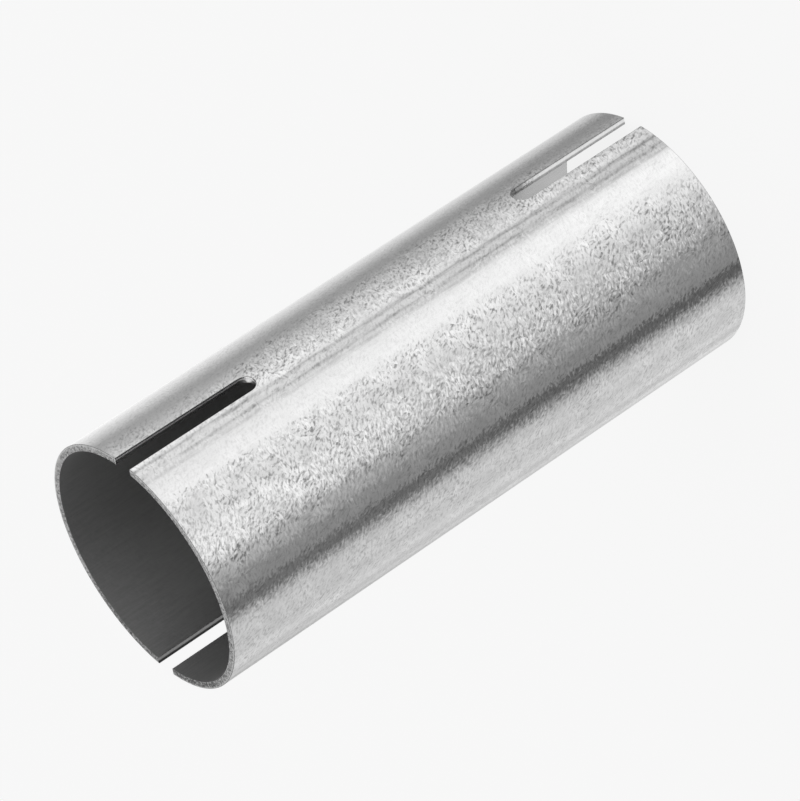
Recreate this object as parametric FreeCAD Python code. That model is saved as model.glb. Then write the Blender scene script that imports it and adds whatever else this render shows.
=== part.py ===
import FreeCAD, Part
import math
import os

# Splice sleeve: a short round tube of zinc-coated steel that joins two tubes end to end.
# Each tube slips into one end, and the slots let that end close on it under a band clamp.
# It stands on one end, with its axis on +Z, its origin at the middle of the bottom end,
# and the first slot of the top end on the +X side.

# Driving dimensions, in millimetres and degrees
BORE_DIAMETER = 48.8    # slips over tube of 48.3 mm
WALL = 1.5
LENGTH = 127.0
SLOT_LENGTH = 30.5      # from the end of the sleeve to the tip of the round closed end
TOP_SLOT_WIDTH = 4.2    # the two ends are cut one after the other, and differ a little
BOTTOM_SLOT_WIDTH = 4.7
TOP_SLOTS = (0.0, 182.0)        # where the slots of each end stand round the axis
BOTTOM_SLOTS = (6.4, 186.4)
MOUTH_RADIUS = 0.5      # rounded corner where a slot runs out of the end
EDGE_BREAK = 0.1        # bevel that deburring leaves on every cut edge

bore_radius = BORE_DIAMETER / 2
outer_radius = bore_radius + WALL
# The bevels inside and outside share the thickness of the wall.
bevel = min(EDGE_BREAK, 0.4 * WALL)
# Faces that meet at less than this run on smoothly, and have no edge to break.
SMOOTH_ANGLE = 20.0

ORIGIN = FreeCAD.Vector(0, 0, 0)
UP = FreeCAD.Vector(0, 0, 1)
ACROSS = FreeCAD.Vector(1, 0, 0)


def tube():
    """The blank, cut square to length. Its round faces start midway between two slots."""
    outside = Part.makeCylinder(outer_radius, LENGTH, ORIGIN, UP)
    bore = Part.makeCylinder(bore_radius, LENGTH, ORIGIN, UP)
    blank = outside.cut(bore)
    blank.rotate(ORIGIN, UP, sum(TOP_SLOTS) / len(TOP_SLOTS))
    return blank


def slot_cutter(width):
    """What one slot takes away at the top end, on the +X side: parallel sides, a half-round
    closed end, and corners that flare where the slot runs out of the end of the sleeve."""
    half = width / 2
    flare = half + MOUTH_RADIUS
    flare_start = LENGTH - MOUTH_RADIUS
    round_centre = LENGTH - SLOT_LENGTH + half
    arc_rise = MOUTH_RADIUS * (1 - math.sqrt(0.5))
    above = LENGTH + MOUTH_RADIUS

    def at(y, z):
        return FreeCAD.Vector(0, y, z)

    outline = [
        Part.Arc(at(-flare, LENGTH), at(-half - arc_rise, LENGTH - arc_rise), at(-half, flare_start)),
        Part.LineSegment(at(-half, flare_start), at(-half, round_centre)),
        Part.Arc(at(-half, round_centre), at(0, LENGTH - SLOT_LENGTH), at(half, round_centre)),
        Part.LineSegment(at(half, round_centre), at(half, flare_start)),
        Part.Arc(at(half, flare_start), at(half + arc_rise, LENGTH - arc_rise), at(flare, LENGTH)),
        Part.LineSegment(at(flare, LENGTH), at(flare, above)),
        Part.LineSegment(at(flare, above), at(-flare, above)),
        Part.LineSegment(at(-flare, above), at(-flare, LENGTH)),
    ]
    wire = Part.Wire([stretch.toShape() for stretch in outline])
    return Part.Face(wire).extrude(ACROSS * (outer_radius + WALL))


def slot_cutters():
    """The slots of both ends, each turned round the axis to its place. A bottom slot is first
    rolled over end for end."""
    middle = UP * (LENGTH / 2)
    cutters = []
    for azimuth in TOP_SLOTS:
        top = slot_cutter(TOP_SLOT_WIDTH)
        top.rotate(ORIGIN, UP, azimuth)
        cutters.append(top)
    for azimuth in BOTTOM_SLOTS:
        bottom = slot_cutter(BOTTOM_SLOT_WIDTH)
        bottom.rotate(middle, ACROSS, 180)
        bottom.rotate(ORIGIN, UP, azimuth)
        cutters.append(bottom)
    return cutters


def is_sharp(shape, edge):
    """True where two faces meet at an angle, so not on a seam or where one runs into the next."""
    faces = shape.ancestorsOfType(edge, Part.Face)
    if len(faces) != 2:
        return False
    middle = edge.valueAt((edge.FirstParameter + edge.LastParameter) / 2)
    first, second = [face.normalAt(*face.Surface.parameter(middle)) for face in faces]
    return first.dot(second) < math.cos(math.radians(SMOOTH_ANGLE))


def splice_sleeve():
    """The finished sleeve: the blank slotted at both ends, with every cut edge deburred."""
    slotted = tube().cut(slot_cutters())
    cut_edges = [edge for edge in slotted.Edges if is_sharp(slotted, edge)]
    return slotted.makeChamfer(bevel, cut_edges)


os.makedirs("parts", exist_ok=True)
splice_sleeve().exportStep("parts/splice_sleeve.step")
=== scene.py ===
"""A splice sleeve: a short zinc-coated steel tube, slotted from both ends, standing in a white tent."""
import math

import bmesh
import bpy
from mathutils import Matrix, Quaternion, Vector


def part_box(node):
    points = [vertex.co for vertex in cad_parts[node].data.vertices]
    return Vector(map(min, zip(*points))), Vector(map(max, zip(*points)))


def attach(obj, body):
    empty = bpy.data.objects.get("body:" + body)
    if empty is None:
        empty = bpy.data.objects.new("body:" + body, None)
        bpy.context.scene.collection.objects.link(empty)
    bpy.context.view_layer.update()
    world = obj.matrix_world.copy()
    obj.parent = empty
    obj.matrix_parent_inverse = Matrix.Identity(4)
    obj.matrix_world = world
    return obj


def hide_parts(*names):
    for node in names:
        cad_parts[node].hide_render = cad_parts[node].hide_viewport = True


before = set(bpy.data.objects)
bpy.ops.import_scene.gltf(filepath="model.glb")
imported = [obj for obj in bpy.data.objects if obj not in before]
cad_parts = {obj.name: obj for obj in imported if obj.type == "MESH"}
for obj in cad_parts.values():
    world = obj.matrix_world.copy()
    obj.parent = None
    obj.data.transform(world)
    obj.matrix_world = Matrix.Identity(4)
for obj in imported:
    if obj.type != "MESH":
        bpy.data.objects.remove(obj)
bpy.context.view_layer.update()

# The wall of the sleeve is a strip of steel 1.5 mm thick, as wide as the tube is round at the middle of its
# wall. The strip is cut and deburred flat, and rolled up last, so that every edge keeps its even bevel.
MM = 0.001
low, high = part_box("splice_sleeve")
outer_radius = high.x
length = high.z - low.z
wall = 1.5 * MM
middle_radius = outer_radius - wall / 2
girth = 2 * math.pi * middle_radius
weld_azimuth = -16  # degrees, where the strip's two long edges meet

bpy.ops.object.select_all(action="DESELECT")
bpy.ops.mesh.primitive_cube_add(size=1, location=(0, 0, length / 2), scale=(girth, wall, length))
sleeve = bpy.context.object
sleeve.name = "slotted_sleeve"
bpy.ops.object.transform_apply(location=True, rotation=True, scale=True)

# Each end has two slots on opposite sides, which let the sleeve close on the tube that it holds. They are
# punched with a round-nosed punch, one end after the other, so the ends differ a little in width and place.
slot_length = 30.5 * MM
top_width = 4.2 * MM
top_azimuths = (0, 182)  # degrees round the tube
bottom_width = 4.7 * MM
bottom_azimuths = (6.4, 186.4)
ends = (("top", top_width, top_azimuths), ("bottom", bottom_width, bottom_azimuths))
punch_sides = 64
overshoot = 2 * wall  # how far the punch reaches on both sides of the middle of the strip
faces_up = 0.9        # upward part of a normal that counts as facing up


def select(kind, wanted):
    """Selects the "faces", "edges" or "verts" of the mesh in edit mode that are wanted, and nothing else."""
    modes = {"faces": "FACE", "edges": "EDGE", "verts": "VERT"}
    bpy.ops.mesh.select_mode(type=modes[kind])
    bpy.ops.mesh.select_all(action="DESELECT")
    shape = bmesh.from_edit_mesh(bpy.context.edit_object.data)
    for part in getattr(shape, kind):
        if wanted(part):
            part.select_set(True)
    shape.select_flush_mode()
    bmesh.update_edit_mesh(bpy.context.edit_object.data)


def place_on_strip(azimuth):
    """How far along the flat strip the line at that azimuth of the rolled tube lies."""
    return girth * ((azimuth - weld_azimuth) % 360 / 360 - 0.5)


def widening(half, depth):
    """How much wider than the slot the flat cut is at that depth, since rolling closes the inside."""
    return middle_radius * math.asin(half / (middle_radius - depth)) / half


for end, slot_width, azimuths in ends:
    half = slot_width / 2
    nose = length - slot_length + half
    bpy.ops.object.select_all(action="DESELECT")
    bpy.ops.mesh.primitive_cylinder_add(
        vertices=punch_sides, radius=half, depth=2 * overshoot,
        location=(0, 0, nose), rotation=(math.pi / 2, 0, 0))
    punch = bpy.context.object
    bpy.ops.object.transform_apply(location=True, rotation=True, scale=True)
    bpy.ops.object.mode_set(mode="EDIT")
    bpy.ops.mesh.bisect(plane_co=(0, 0, nose), plane_no=(0, 0, 1), clear_outer=True, use_fill=True)
    select("faces", lambda face: face.normal.z > faces_up)
    bpy.ops.mesh.extrude_region_move(TRANSFORM_OT_translate={"value": (0, 0, length + overshoot - nose)})
    for side in (-1, 1):
        select("verts", lambda vert: vert.co.y * side > 0)
        wider = widening(half, side * overshoot)
        bpy.ops.transform.resize(value=(wider, 1, 1), center_override=(0, 0, nose))
    bpy.ops.object.mode_set(mode="OBJECT")
    if end == "bottom":
        bpy.ops.transform.mirror(constraint_axis=(False, False, True), center_override=(0, 0, length / 2))
        bpy.ops.object.transform_apply(location=True, rotation=True, scale=True)
        punch.data.flip_normals()
    for azimuth in azimuths:
        bpy.ops.object.select_all(action="DESELECT")
        punch.select_set(True)
        bpy.context.view_layer.objects.active = punch
        bpy.ops.object.duplicate(linked=False)
        cutter = bpy.context.object
        bpy.ops.transform.translate(value=(place_on_strip(azimuth), 0, 0))
        bpy.ops.object.transform_apply(location=True, rotation=True, scale=True)
        cut = sleeve.modifiers.new("slot", "BOOLEAN")
        cut.object = cutter
        cut.solver = "EXACT"
        bpy.context.view_layer.objects.active = sleeve
        bpy.ops.object.modifier_apply(modifier=cut.name)
        bpy.data.objects.remove(cutter)
    bpy.data.objects.remove(punch)

# The cut edges are deburred with a file: the corners at each slot's mouth are rounded, and every other sharp
# edge has a small round, which draws a thin line along it.
mouth_radius = 0.5 * MM
mouth_steps = 5
edge_break = 0.1 * MM
edge_steps = 2
sharp_angle = 60  # degrees
near = 0.01 * MM
touching = near / 10


def at_mouth(edge):
    """True for an edge through the wall at one of the two ends, where a slot opens."""
    first, second = (vert.co for vert in edge.verts)
    through = abs(first.x - second.x) < near and abs(first.z - second.z) < near
    level_with_end = first.z < near or first.z > length - near
    return through and level_with_end and abs(first.x) < girth / 2 - near


bpy.ops.object.select_all(action="DESELECT")
sleeve.select_set(True)
bpy.ops.object.mode_set(mode="EDIT")
bpy.ops.mesh.select_all(action="SELECT")
bpy.ops.mesh.remove_doubles(threshold=touching)
select("edges", at_mouth)
bpy.ops.mesh.bevel(offset=mouth_radius, segments=mouth_steps, affect="EDGES")
select("faces", lambda face: abs(face.calc_center_median().x) > girth / 2 - near)
bpy.ops.mesh.delete(type="FACE")
bpy.ops.mesh.select_mode(type="EDGE")
bpy.ops.mesh.select_all(action="DESELECT")
bpy.ops.mesh.edges_select_sharp(sharpness=math.radians(sharp_angle))
bpy.ops.mesh.bevel(offset=edge_break, segments=edge_steps, affect="EDGES")
bpy.ops.object.mode_set(mode="OBJECT")

# The zinc is a spangled coat: it froze in small crystals, each with feathery arms in its own direction and
# tilted a little its own way. Along the weld the bead was scraped flush and the bare steel sprayed with zinc
# again, which left a smooth stripe, with the marks of the scraper along one side of it.


def linear(hex_colour):
    """An sRGB hex colour as linear red, green, blue and alpha."""
    channels = [int(hex_colour[i:i + 2], 16) / 255 for i in (1, 3, 5)]
    return [c / 12.92 if c <= 0.04045 else ((c + 0.055) / 1.055) ** 2.4 for c in channels] + [1]


def add(tree, kind, inputs=None, **settings):
    """Adds a node with its settings, and gives each named or numbered input a value or a link. A Mix node's
    inputs share their names, so they go by number: 2 and 3 are its two numbers, 6 and 7 its two colours."""
    node = tree.nodes.new(kind)
    for name, value in settings.items():
        setattr(node, name, value)
    for key, value in (inputs or {}).items():
        if isinstance(value, bpy.types.NodeSocket):
            tree.links.new(value, node.inputs[key])
        else:
            node.inputs[key].default_value = value
    return node.outputs


def new_material(name):
    """An empty node material and its tree."""
    material = bpy.data.materials.new(name)
    material.use_nodes = True
    material.node_tree.nodes.clear()
    return material, material.node_tree


def zinc_coat(name, light, dark, roughness, tilt, contrast, dulling):
    """Spangled zinc between the light and the dark colour, with that contrast of its arms and their tilt
    round the tube and lengthways. Its colour is darkened towards the top end by the given amount, as painted
    shade, and then its roughness goes from the first value at the bottom end to the second at the top. With
    no such darkening it differs between those two from crystal to crystal."""
    material, tree = new_material(name)
    strip = add(tree, "ShaderNodeUVMap", uv_map="strip")["UV"]
    normal = add(tree, "ShaderNodeNewGeometry")["Normal"]
    round_tube = add(tree, "ShaderNodeVectorMath", {0: (0, 0, 1), 1: normal}, operation="CROSS_PRODUCT")[0]
    noise_middle = 0.5

    # Places on the coat are taken round the tube from the weld, and from 0 at the bottom end to 1 at the top.
    place = add(tree, "ShaderNodeSeparateXYZ", {0: strip})
    from_weld = add(tree, "ShaderNodeMath", {0: place["X"], 1: girth / 2}, operation="ADD")[0]
    from_weld = add(tree, "ShaderNodeMath", {0: from_weld, 1: girth / 2, 2: -girth / 2}, operation="WRAP")[0]
    top = add(tree, "ShaderNodeMath", {0: place["Y"], 1: 1 / length}, operation="MULTIPLY")[0]

    # Every crystal turns its arms its own way, within the spread on both sides of the common lean in degrees.
    crystal = 1.7 * MM
    arm_length = 1.1 * MM
    arm_width = 0.5 * MM
    arm_lean = 36
    arm_spread = 48
    crystals = add(tree, "ShaderNodeTexVoronoi", {"Vector": strip, "Scale": 1 / crystal},
                   voronoi_dimensions="2D")["Color"]
    turn = add(tree, "ShaderNodeMapRange", {
        "Value": crystals, "To Min": math.radians(arm_lean - arm_spread),
        "To Max": math.radians(arm_lean + arm_spread)})[0]
    turned = add(tree, "ShaderNodeVectorRotate", {"Vector": strip, "Angle": turn}, rotation_type="Z_AXIS")[0]
    stretched = add(tree, "ShaderNodeVectorMath", {0: turned, 1: (1 / arm_length, 1 / arm_width, 0)},
                    operation="MULTIPLY")[0]
    arms = add(tree, "ShaderNodeTexNoise", {"Vector": stretched, "Scale": 1.0, "Detail": 2.5},
               noise_dimensions="2D")["Color"]
    arms = add(tree, "ShaderNodeSeparateColor", {0: arms})

    # The sprayed stripe keeps little of the spangle. Its lower border is sharp at the top end, and softens
    # towards the bottom end.
    stripe_low = -4.5 * MM
    stripe_high = 0.5 * MM
    stripe_sharp = 0.2 * MM
    stripe_soft = 4.5 * MM
    stripe_ragged = 3 * MM
    stripe_spangle = 0.2
    border = add(tree, "ShaderNodeMath", {0: arms["Red"], 1: -stripe_ragged, 2: stripe_ragged / 2},
                 operation="MULTIPLY_ADD")[0]
    border = add(tree, "ShaderNodeMath", {0: from_weld, 1: border}, operation="ADD")[0]
    soft_edge = add(tree, "ShaderNodeMapRange", {
        "Value": top, "To Min": stripe_low - stripe_soft, "To Max": stripe_low - stripe_sharp})[0]
    below = add(tree, "ShaderNodeMapRange", {
        "Value": border, "From Min": stripe_low + stripe_sharp, "From Max": soft_edge,
        "To Min": stripe_spangle, "To Max": 1.0}, interpolation_type="SMOOTHSTEP")[0]
    above = add(tree, "ShaderNodeMapRange", {
        "Value": border, "From Min": stripe_high - stripe_sharp, "From Max": stripe_high + stripe_sharp,
        "To Min": stripe_spangle, "To Max": 1.0}, interpolation_type="SMOOTHSTEP")[0]
    spangled = add(tree, "ShaderNodeMath", {0: below, 1: above}, operation="MAXIMUM")[0]

    # A band past the stripe is smoother than the rest, and comes nearer to the weld beside the top slot.
    smooth_middle = 24 * MM
    smooth_half = 11 * MM
    smooth_fade = 3 * MM
    smooth_spangle = 0.5
    smooth_nearer = 5 * MM
    beside_slot = (0.68, 0.86)
    nearer = add(tree, "ShaderNodeMapRange", {
        "Value": top, "From Min": beside_slot[0], "From Max": beside_slot[1], "To Max": smooth_nearer})[0]
    reach = add(tree, "ShaderNodeMath", {0: from_weld, 1: nearer}, operation="ADD")[0]
    reach = add(tree, "ShaderNodeMath", {0: reach, 1: smooth_middle}, operation="SUBTRACT")[0]
    reach = add(tree, "ShaderNodeMath", {0: reach}, operation="ABSOLUTE")[0]
    smooth = add(tree, "ShaderNodeMapRange", {
        "Value": reach, "From Min": smooth_half - smooth_fade, "From Max": smooth_half,
        "To Min": smooth_spangle, "To Max": 1.0}, interpolation_type="SMOOTHSTEP")[0]
    spangled = add(tree, "ShaderNodeMath", {0: spangled, 1: smooth}, operation="MULTIPLY")[0]

    # The spangle is bold in a ragged band along the weld and faint elsewhere, in patches. The spangle is
    # real;
    # its bold contrast in that band is partly painted sparkle, for crystals glinting round the bright
    # highlight.
    bold_middle = -3.5 * MM
    bold_half = 17.1 * MM
    bold_fade = 2 * MM
    faint = 0.48
    patch = 7 * MM
    patch_ragged = 5 * MM
    patch_contrast = 2.0
    patches = add(tree, "ShaderNodeTexNoise", {"Vector": strip, "Scale": 1 / patch, "Detail": 2.0},
                  noise_dimensions="2D")[0]
    patches = add(tree, "ShaderNodeMath", {0: patches, 1: noise_middle}, operation="SUBTRACT")[0]
    reach = add(tree, "ShaderNodeMath", {0: from_weld, 1: bold_middle}, operation="SUBTRACT")[0]
    reach = add(tree, "ShaderNodeMath", {0: reach}, operation="ABSOLUTE")[0]
    reach = add(tree, "ShaderNodeMath", {0: patches, 1: patch_ragged, 2: reach}, operation="MULTIPLY_ADD")[0]
    spangle_and_sparkle = add(tree, "ShaderNodeMapRange", {
        "Value": reach, "From Min": bold_half - bold_fade, "From Max": bold_half,
        "To Min": contrast, "To Max": faint * contrast}, interpolation_type="SMOOTHSTEP")[0]
    patchy = add(tree, "ShaderNodeMath", {0: patches, 1: -patch_contrast, 2: 1.0},
                 operation="MULTIPLY_ADD")[0]
    spangle_and_sparkle = add(tree, "ShaderNodeMath", {0: spangle_and_sparkle, 1: patchy}, operation="MULTIPLY")[0]

    # The rolls left fine lines along the sleeve, drawn coarser than the real ones so that they show.
    roller_line = 0.5 * MM
    roller_run = 6 * MM
    roller_shade = 0.11
    roller_tilt = 0.03
    rolled = add(tree, "ShaderNodeVectorMath", {0: strip, 1: (1 / roller_line, 1 / roller_run, 0)},
                 operation="MULTIPLY")[0]
    rolled = add(tree, "ShaderNodeTexNoise", {"Vector": rolled, "Scale": 1.0, "Detail": 3.0},
                 noise_dimensions="2D")[0]
    rolled = add(tree, "ShaderNodeMath", {0: rolled, 1: noise_middle}, operation="SUBTRACT")[0]

    # The scraper left a dull band beside the weld, which blurs the spangle, and three darker lines in it that
    # wander and skip, all deeper towards the bottom end.
    scraper_marks = ((0.4 * MM, 0.10), (1.8 * MM, 0.14), (3.7 * MM, 0.20))  # from the weld, and how dark
    scraper_half = 0.75 * MM
    scraper_wander = 0.35 * MM
    scraper_run = 12 * MM
    scraper_streak = 0.7 * MM
    scraper_skip = 9 * MM
    skip_noise = (0.35, 0.65)
    skip_depth = (0.4, 1.6)
    scraped_middle = 2.4 * MM
    scraped_half = 2.0 * MM
    scraped_fade = 0.5 * MM
    scraped_blur = 1.5 * MM
    scraped_spangle = 0.4
    scraped_shade = 0.09
    scraped_depth = (2.0, 1.4)
    wander = add(tree, "ShaderNodeTexNoise", {"W": place["Y"], "Scale": 1 / scraper_run},
                 noise_dimensions="1D")[0]
    wander = add(tree, "ShaderNodeMath", {0: wander, 1: 2 * scraper_wander, 2: -scraper_wander},
                 operation="MULTIPLY_ADD")[0]
    wander = add(tree, "ShaderNodeMath", {0: from_weld, 1: wander}, operation="ADD")[0]
    off = add(tree, "ShaderNodeMath", {0: wander, 1: scraped_middle}, operation="SUBTRACT")[0]
    off = add(tree, "ShaderNodeMath", {0: off}, operation="ABSOLUTE")[0]
    blurred = add(tree, "ShaderNodeMapRange", {
        "Value": off, "From Min": scraped_half - scraped_fade, "From Max": scraped_half + scraped_blur,
        "To Min": scraped_spangle, "To Max": 1.0})[0]
    spangled = add(tree, "ShaderNodeMath", {0: spangled, 1: blurred}, operation="MULTIPLY")[0]
    scraped = add(tree, "ShaderNodeMapRange", {
        "Value": off, "From Min": scraped_half + scraped_fade, "From Max": scraped_half - scraped_fade,
        "To Max": scraped_shade}, interpolation_type="SMOOTHSTEP")[0]
    skips = add(tree, "ShaderNodeVectorMath", {0: strip, 1: (1 / scraper_streak, 1 / scraper_skip, 0)},
                operation="MULTIPLY")[0]
    skips = add(tree, "ShaderNodeTexNoise", {"Vector": skips, "Scale": 1.0, "Detail": 2.0},
                noise_dimensions="2D")[0]
    skips = add(tree, "ShaderNodeMapRange", {
        "Value": skips, "From Min": skip_noise[0], "From Max": skip_noise[1],
        "To Min": skip_depth[0], "To Max": skip_depth[1]})[0]
    for mark, depth in scraper_marks:
        off = add(tree, "ShaderNodeMath", {0: wander, 1: mark}, operation="SUBTRACT")[0]
        off = add(tree, "ShaderNodeMath", {0: off}, operation="ABSOLUTE")[0]
        line = add(tree, "ShaderNodeMapRange", {
            "Value": off, "From Min": scraper_half, "From Max": 0, "To Max": depth},
            interpolation_type="SMOOTHSTEP")[0]
        scraped = add(tree, "ShaderNodeMath", {0: line, 1: skips, 2: scraped}, operation="MULTIPLY_ADD")[0]
    deeper = add(tree, "ShaderNodeMapRange", {
        "Value": top, "To Min": scraped_depth[0] * contrast, "To Max": scraped_depth[1] * contrast})[0]
    scraped = add(tree, "ShaderNodeMath", {0: scraped, 1: deeper}, operation="MULTIPLY")[0]

    # The plain coat has its own share of the dark colour. Arms and crystals go to both sides of it.
    coat_shade = 0.3
    arm_noise = (0.46, 0.78)
    crystal_shade = 0.4
    middle_shade = 0.44
    shade = add(tree, "ShaderNodeMapRange", {
        "Value": arms["Red"], "From Min": arm_noise[0], "From Max": arm_noise[1]})[0]
    shade = add(tree, "ShaderNodeMath", {0: crystals, 1: crystal_shade, 2: shade},
                operation="MULTIPLY_ADD")[0]
    shade = add(tree, "ShaderNodeMath", {0: shade, 1: middle_shade}, operation="SUBTRACT")[0]
    shade = add(tree, "ShaderNodeMath", {0: shade, 1: spangled}, operation="MULTIPLY")[0]
    shade = add(tree, "ShaderNodeMath", {0: shade, 1: spangle_and_sparkle, 2: coat_shade}, operation="MULTIPLY_ADD")[0]
    shade = add(tree, "ShaderNodeMath", {0: rolled, 1: roller_shade, 2: shade}, operation="MULTIPLY_ADD")[0]
    # Painted shade: the colour darkens towards the top end by the given amount.
    shade = add(tree, "ShaderNodeMath", {0: top, 1: dulling, 2: shade}, operation="MULTIPLY_ADD")[0]
    shade = add(tree, "ShaderNodeMath", {0: shade, 1: scraped}, operation="ADD", use_clamp=True)[0]
    colour = add(tree, "ShaderNodeMix", {0: shade, 6: linear(light), 7: linear(dark)}, data_type="RGBA")[2]

    # Arms and roller lines tilt the surface round the tube, and arms tilt it lengthways too.
    sideways = add(tree, "ShaderNodeMapRange", {
        "Value": arms["Green"], "To Min": -tilt[0], "To Max": tilt[0]})[0]
    sideways = add(tree, "ShaderNodeMath", {0: sideways, 1: spangled}, operation="MULTIPLY")[0]
    sideways = add(tree, "ShaderNodeMath", {0: rolled, 1: roller_tilt, 2: sideways},
                   operation="MULTIPLY_ADD")[0]
    sideways = add(tree, "ShaderNodeVectorMath", {0: round_tube, "Scale": sideways}, operation="SCALE")[0]
    lengthways = add(tree, "ShaderNodeMapRange", {
        "Value": arms["Blue"], "To Min": -tilt[1], "To Max": tilt[1]})[0]
    lengthways = add(tree, "ShaderNodeMath", {0: lengthways, 1: spangled}, operation="MULTIPLY")[0]
    lengthways = add(tree, "ShaderNodeCombineXYZ", {"Z": lengthways})[0]
    facing = add(tree, "ShaderNodeVectorMath", {0: normal, 1: sideways}, operation="ADD")[0]
    facing = add(tree, "ShaderNodeVectorMath", {0: facing, 1: lengthways}, operation="ADD")[0]
    facing = add(tree, "ShaderNodeVectorMath", {0: facing}, operation="NORMALIZE")[0]
    rough = add(tree, "ShaderNodeMapRange", {
        "Value": top if dulling else crystals, "To Min": roughness[0], "To Max": roughness[1]})[0]
    metal = add(tree, "ShaderNodeBsdfPrincipled", {
        "Base Color": colour, "Metallic": 1.0, "Roughness": rough, "Normal": facing})[0]
    add(tree, "ShaderNodeOutputMaterial", {"Surface": metal})
    return material


# Outside, hot-dip galvanised steel is bright, with a fine feathery sparkle that shifts as the sleeve turns.
outside_zinc = zinc_coat("spangled_zinc_outside", "#E8E8E8", "#8A8A8A", roughness=(0.09, 0.13),
                         tilt=(0.085, 0.10), contrast=0.86, dulling=0)
# Inside, the same zinc is rougher, with hardly a sparkle, and its colour is darkened towards the top end
# as painted shade of the deep bore: an even dark grey there.
inside_zinc = zinc_coat("rough_zinc_inside_painted_shade", "#E2E2E2", "#505050", roughness=(0.25, 0.62),
                        tilt=(0.02, 0.04), contrast=0.05, dulling=0.4)

# The faces of the cuts are bare steel, cut after the strip was zinc coated. The ends are sawn. The slots are
# punched from outside: their walls are burnished where the punch went in, and broken out towards the inside.
# A dull burr runs along every edge.


def cut_steel(name, light, dark, roughness, grain=0.1, tilt=0.02, breakout=0, side_darkening=0, zones=()):
    """Bare cut steel between two colours, mottled by the grain and the tilt and leaning inwards by the
    breakout. It is darker by the given amount towards the -X side of the sleeve, round the second slot of
    each end. Each zone lies between two shares of the wall, counted from the outside, and is darker and
    rougher than the rest by its third and fourth value."""
    torn_grain = 0.35 * MM  # coarser than the real grain, so that it shows
    grain_middle = (0.5, 0.5, 0.5)
    zone_blur = 0.1         # share of the wall
    darkening_start = 0.5       # shares of the radius
    darkening_full = 0.85
    material, tree = new_material(name)
    place = add(tree, "ShaderNodeTexCoord")["Object"]
    normal = add(tree, "ShaderNodeNewGeometry")["Normal"]
    torn = add(tree, "ShaderNodeTexVoronoi", {"Vector": place, "Scale": 1 / torn_grain})["Color"]
    shade = add(tree, "ShaderNodeSeparateColor", {0: torn})["Red"]
    across = add(tree, "ShaderNodeSeparateXYZ", {0: place})["X"]
    darker_side = add(tree, "ShaderNodeMapRange", {
        "Value": across, "From Min": -darkening_start * outer_radius, "From Max": -darkening_full * outer_radius,
        "To Max": side_darkening}, interpolation_type="SMOOTHSTEP")[0]
    shade = add(tree, "ShaderNodeMath", {0: shade, 1: grain, 2: darker_side}, operation="MULTIPLY_ADD",
                use_clamp=True)[0]
    rough = roughness
    level = add(tree, "ShaderNodeVectorMath", {0: place, 1: (1, 1, 0)}, operation="MULTIPLY")[0]
    radius = add(tree, "ShaderNodeVectorMath", {0: level}, operation="LENGTH")["Value"]
    for start, end, darker, rougher in zones:
        zone_middle = outer_radius - (start + end) / 2 * wall
        zone_half = (end - start) / 2
        off = add(tree, "ShaderNodeMath", {0: radius, 1: zone_middle}, operation="SUBTRACT")[0]
        off = add(tree, "ShaderNodeMath", {0: off}, operation="ABSOLUTE")[0]
        inside = add(tree, "ShaderNodeMapRange", {
            "Value": off, "From Min": (zone_half + zone_blur) * wall,
            "From Max": (zone_half - zone_blur) * wall})[0]
        shade = add(tree, "ShaderNodeMath", {0: inside, 1: darker, 2: shade}, operation="MULTIPLY_ADD",
                    use_clamp=True)[0]
        if rougher:
            rough = add(tree, "ShaderNodeMath", {0: inside, 1: rougher, 2: rough},
                        operation="MULTIPLY_ADD")[0]
    colour = add(tree, "ShaderNodeMix", {0: shade, 6: linear(light), 7: linear(dark)}, data_type="RGBA")[2]
    torn = add(tree, "ShaderNodeVectorMath", {0: torn, 1: grain_middle}, operation="SUBTRACT")[0]
    torn = add(tree, "ShaderNodeVectorMath", {0: torn, "Scale": 2 * tilt}, operation="SCALE")[0]
    inwards = -breakout / middle_radius
    facing = add(tree, "ShaderNodeVectorMath", {0: place, 1: (inwards, inwards, 0), 2: normal},
                 operation="MULTIPLY_ADD")[0]
    facing = add(tree, "ShaderNodeVectorMath", {0: facing, 1: torn}, operation="ADD")[0]
    facing = add(tree, "ShaderNodeVectorMath", {0: facing}, operation="NORMALIZE")[0]
    metal = add(tree, "ShaderNodeBsdfPrincipled", {
        "Base Color": colour, "Metallic": 1.0, "Roughness": rough, "Normal": facing})[0]
    add(tree, "ShaderNodeOutputMaterial", {"Surface": metal})
    return material


# Sawn steel is a coarse mottled grey, painted lighter along its outer edge as a painted highlight.
sawn_steel = cut_steel("sawn_bare_steel", "#B8B8B8", "#4A4A4A", roughness=0.45, grain=0.9, tilt=0.2,
                       side_darkening=0.36, zones=[(0, 0.2, -0.7, 0)])
# The first top slot's walls are smooth enough to mirror the dark bore, with a matt torn lip as a paler line.
torn_steel = cut_steel("punched_steel_top", "#ECECEC", "#787878", roughness=0.15,
                       zones=[(0.2, 0.45, 0, 0.45)])
# The second top slot's walls are painted dark over their outer half, as a painted reflection of dark
# surroundings, and their paler inner half is a painted soft light line along the inner edge.
painted_dark_steel = cut_steel("punched_steel_painted_dark", "#969696", "#303030", roughness=0.3, zones=[(0, 0.5, 1.0, 0)])
# The bottom slots' walls are smooth and bright, with a thin dark line along both edges.
sheared_steel = cut_steel("punched_steel_bottom", "#F4F4F4", "#585858", roughness=0.15, grain=0.15,
                          breakout=0.22, zones=[(0, 0.12, 0.6, 0), (0.62, 1, 0.6, 0)])
# A burr is soft torn steel, without the shine of the faces beside it. Its dull dark colour also goes on the
# closed ends of the bottom slots, as painted shade.
burr_and_shaded_nose_steel = cut_steel("dull_burr_and_nose_shade_steel", "#A8A8A8", "#767676", roughness=0.5, grain=1.0, tilt=0.15,
                       side_darkening=0.36)

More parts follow.
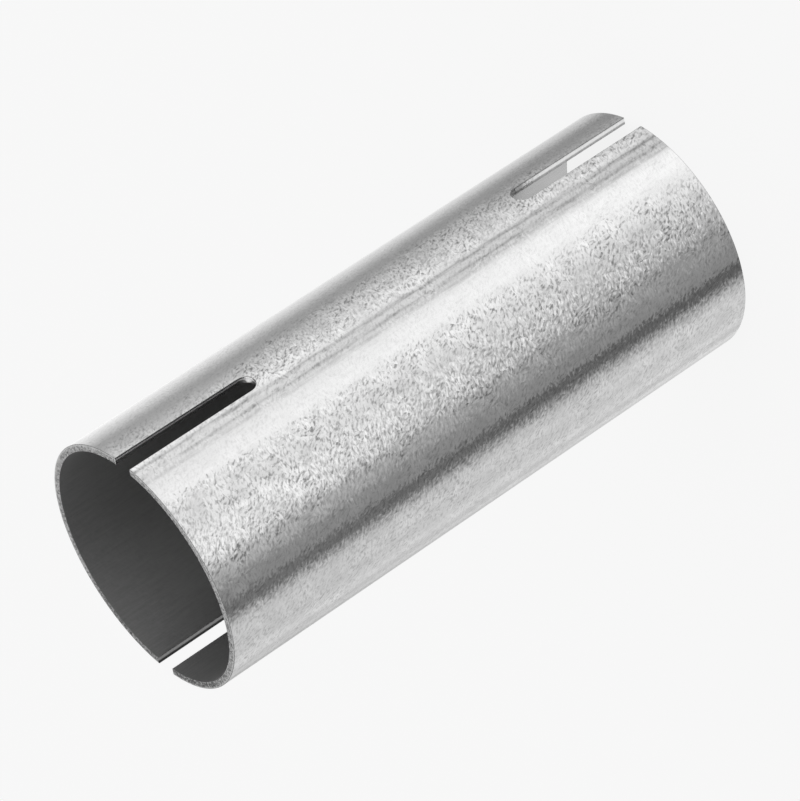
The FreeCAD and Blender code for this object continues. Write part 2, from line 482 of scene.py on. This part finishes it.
# Each finish goes on the faces of the flat strip that have it, picked by how they face and where they lie.
# A later finish takes over the faces that it shares with an earlier one.
flat_enough = 0.99   # part of a face's normal that points through the strip
square_enough = 0.2


def is_flat(face):
    """True on the two large sides of the strip."""
    return abs(face.normal.y) > flat_enough


def is_square(face):
    """True on the cut faces, which go straight through the strip."""
    return abs(face.normal.y) < square_enough


def at_end(face):
    """True in the plane of either end."""
    height = face.calc_center_median().z
    return min(height, length - height) < near


def in_slot(face):
    """True on the walls of every slot."""
    return is_square(face) and not at_end(face)


def in_top_half(face):
    """True nearer to the top end than to the bottom end."""
    return face.calc_center_median().z > length / 2


def in_second_top_slot(face):
    """True on the walls of the second slot of the top end."""
    off = face.calc_center_median().x - place_on_strip(top_azimuths[1])
    return in_slot(face) and in_top_half(face) and abs(off) < top_width


def closes_bottom_slot(face):
    """True on the half-round closed ends of the bottom slots."""
    nose = slot_length - bottom_width / 2
    return in_slot(face) and not in_top_half(face) and face.calc_center_median().z > nose


finishes = (
    (outside_zinc, lambda face: face.normal.y < 0 and is_flat(face)),
    (inside_zinc, lambda face: face.normal.y > 0 and is_flat(face)),
    (sawn_steel, lambda face: is_square(face) and at_end(face)),
    (torn_steel, lambda face: in_slot(face) and in_top_half(face)),
    (painted_dark_steel, in_second_top_slot),
    (sheared_steel, lambda face: in_slot(face) and not in_top_half(face)),
    (burr_and_shaded_nose_steel, lambda face: closes_bottom_slot(face) or not (is_flat(face) or is_square(face))),
)
for material, wanted in finishes:
    sleeve.data.materials.append(material)
bpy.ops.object.mode_set(mode="EDIT")
for index, (material, wanted) in enumerate(finishes):
    select("faces", wanted)
    sleeve.active_material_index = index
    bpy.ops.object.material_slot_assign()

# The strip is rolled round into the tube and its two edges are welded together, with the bead dressed flush,
# so only the sprayed stripe shows it. The normals lean on the large faces, so that no bevel shades the wall.
columns = 360
smooth_angle = 40  # degrees
lean_on_large = 100  # the most that the modifier takes
for column in range(1, columns):
    across = girth * (column / columns - 0.5)
    bpy.ops.mesh.select_all(action="SELECT")
    bpy.ops.mesh.bisect(plane_co=(across, 0, 0), plane_no=(1, 0, 0))
bpy.ops.object.mode_set(mode="OBJECT")
strip_map = sleeve.data.uv_layers.new(name="strip")
for corner, spot in zip(sleeve.data.loops, strip_map.uv):
    spot.vector = sleeve.data.vertices[corner.vertex_index].co.xz
roll = sleeve.modifiers.new("roll", "SIMPLE_DEFORM")
roll.deform_method = "BEND"
roll.deform_axis = "Z"
roll.angle = 2 * math.pi
bpy.ops.object.modifier_apply(modifier=roll.name)
bpy.ops.object.mode_set(mode="EDIT")
bpy.ops.mesh.select_all(action="SELECT")
bpy.ops.transform.translate(value=(0, -middle_radius, 0))
bpy.ops.mesh.remove_doubles(threshold=touching)
bpy.ops.mesh.normals_make_consistent(inside=False)
bpy.ops.object.mode_set(mode="OBJECT")
sleeve.rotation_euler.z = math.radians(weld_azimuth - 90)
bpy.ops.object.transform_apply(location=True, rotation=True, scale=True)
bpy.ops.object.shade_smooth_by_angle(angle=math.radians(smooth_angle))
even = sleeve.modifiers.new("even", "WEIGHTED_NORMAL")
even.mode = "FACE_AREA"
even.weight = lean_on_large
even.keep_sharp = True
bpy.ops.object.modifier_apply(modifier=even.name)

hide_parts("splice_sleeve")
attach(sleeve, "root")

# The sleeve stands on a white board. The board shows white to the camera and keeps a faint shadow where the
# sleeve stands, and the metal mirrors the white tent past it.
white = linear("#F8F8F8")
board_size = 8.0   # metres
shadowless = 0.92  # share of the board's white that no shadow darkens
bpy.ops.object.select_all(action="DESELECT")
bpy.ops.mesh.primitive_plane_add(size=board_size, location=(0, 0, low.z))
board = bpy.context.object
board.name = "white_board"
board.visible_glossy = False
board_paint, tree = new_material("matt_white_board")
seen = add(tree, "ShaderNodeLightPath")["Is Camera Ray"]
share = add(tree, "ShaderNodeMath", {0: seen, 1: shadowless}, operation="MULTIPLY")[0]
paint = add(tree, "ShaderNodeBsdfDiffuse", {"Color": white})[0]
glow = add(tree, "ShaderNodeEmission", {"Color": white})[0]
mixed = add(tree, "ShaderNodeMixShader", {0: share, 1: paint, 2: glow})[0]
add(tree, "ShaderNodeOutputMaterial", {"Surface": mixed})
board.data.materials.append(board_paint)

# The light is a white tent round the sleeve. Its cloth wall is brightest at one panel and duller past that,
# with three grey cards hung on it and one dark gap in it, all from below the board up to the white roof.
overhead = 1.0
roof_start = 0.6  # upward parts of a direction
roof_full = 0.85
high_level = -22  # degrees above the horizon, so both are below it
low_level = -30
tent_wall = (  # azimuth in degrees, and the brightness at the high and the low level
    # cloth
    (-180, 0.92, 0.93), (-158, 0.77, 0.82), (-142, 0.81, 0.94), (-130, 0.79, 0.69),
    # dark gap, with a grey card beside it
    (-117, 0.23, 0.14), (-108.5, 0.22, 0.14),
    (-106.5, 0.345, 0.335), (-94, 0.345, 0.36), (-86, 0.58, 0.415), (-76, 0.64, 0.41),
    # cloth, with the bright panel in the middle of it
    (-70, 0.96, 0.42), (-67, 1.06, 0.58), (-55, 1.19, 0.62), (-46, 1.20, 0.77), (-38, 1.00, 0.85),
    (-15, 1.02, 1.31), (-8, 1.34, 1.42), (5, 1.20, 1.40),
    (18, 1.22, 0.95), (33, 1.24, 1.02), (45, 1.04, 0.76),
    # grey card
    (66, 0.62, 0.57), (75, 0.52, 0.44), (82, 0.53, 0.38), (90, 0.74, 0.37),
    # cloth
    (106, 1.01, 0.69), (140, 1.19, 0.89),
    # narrow grey card, and cloth again
    (144, 0.72, 0.78), (153, 0.46, 0.73), (162, 0.74, 0.96), (171, 0.69, 0.72), (180, 0.84, 0.80),
)
world = bpy.data.worlds.new("white_tent")
bpy.context.scene.world = world
world.use_nodes = True
tree = world.node_tree
tree.nodes.clear()
way = add(tree, "ShaderNodeTexCoord")["Generated"]
along = add(tree, "ShaderNodeSeparateXYZ", {0: way})
azimuth = add(tree, "ShaderNodeMath", {0: along["Y"], 1: along["X"]}, operation="ARCTAN2")[0]
turn = add(tree, "ShaderNodeMapRange", {"Value": azimuth, "From Min": -math.pi, "From Max": math.pi})[0]
ring = add(tree, "ShaderNodeValToRGB", {0: turn})["Color"]
stops = ring.node.color_ramp.elements
for degrees, bright_high, bright_low in tent_wall[1:-1]:
    stops.new(degrees / 360 + 0.5)
for stop, (degrees, bright_high, bright_low) in zip(stops, tent_wall):
    stop.position = degrees / 360 + 0.5
    stop.color = (bright_high, bright_low, 0, 1)
levels = add(tree, "ShaderNodeSeparateColor", {0: ring})
lower = add(tree, "ShaderNodeMapRange", {
    "Value": along["Z"], "From Min": math.sin(math.radians(high_level)),
    "From Max": math.sin(math.radians(low_level))})[0]
brightness = add(tree, "ShaderNodeMix", {0: lower, 2: levels["Red"], 3: levels["Green"]})[0]
roof = add(tree, "ShaderNodeMapRange", {"Value": along["Z"], "From Min": roof_start, "From Max": roof_full},
           interpolation_type="SMOOTHSTEP")[0]
brightness = add(tree, "ShaderNodeMix", {0: roof, 2: brightness, 3: overhead})[0]
seen = add(tree, "ShaderNodeLightPath")["Is Camera Ray"]
strength = add(tree, "ShaderNodeMix", {0: seen, 2: brightness, 3: white[0]})[0]
light = add(tree, "ShaderNodeBackground", {"Color": (1, 1, 1, 1), "Strength": strength})[0]
add(tree, "ShaderNodeOutputWorld", {"Surface": light})
bpy.context.scene.view_settings.view_transform = "Standard"

# The camera looks down on the sleeve through a long lens, rolled so that the standing sleeve lies across the
# picture with its top end at the lower left.
eye = Vector((560.512, -513.677, 427.417)) * MM
looking = Vector((-0.66596, 0.609588, -0.43))
camera_roll = 123.49  # degrees
lens = 201.669        # mm, on a sensor of the width below
sensor_width = 36
camera = bpy.data.objects.new("camera", bpy.data.cameras.new("long_lens"))
bpy.context.collection.objects.link(camera)
camera.location = eye
level_view = looking.to_track_quat("-Z", "Y")
camera.rotation_mode = "QUATERNION"
camera.rotation_quaternion = level_view @ Quaternion((0, 0, 1), math.radians(-camera_roll))
camera.data.sensor_width = sensor_width
camera.data.lens = lens
camera.data.clip_end = 2 * board_size
bpy.context.scene.camera = camera
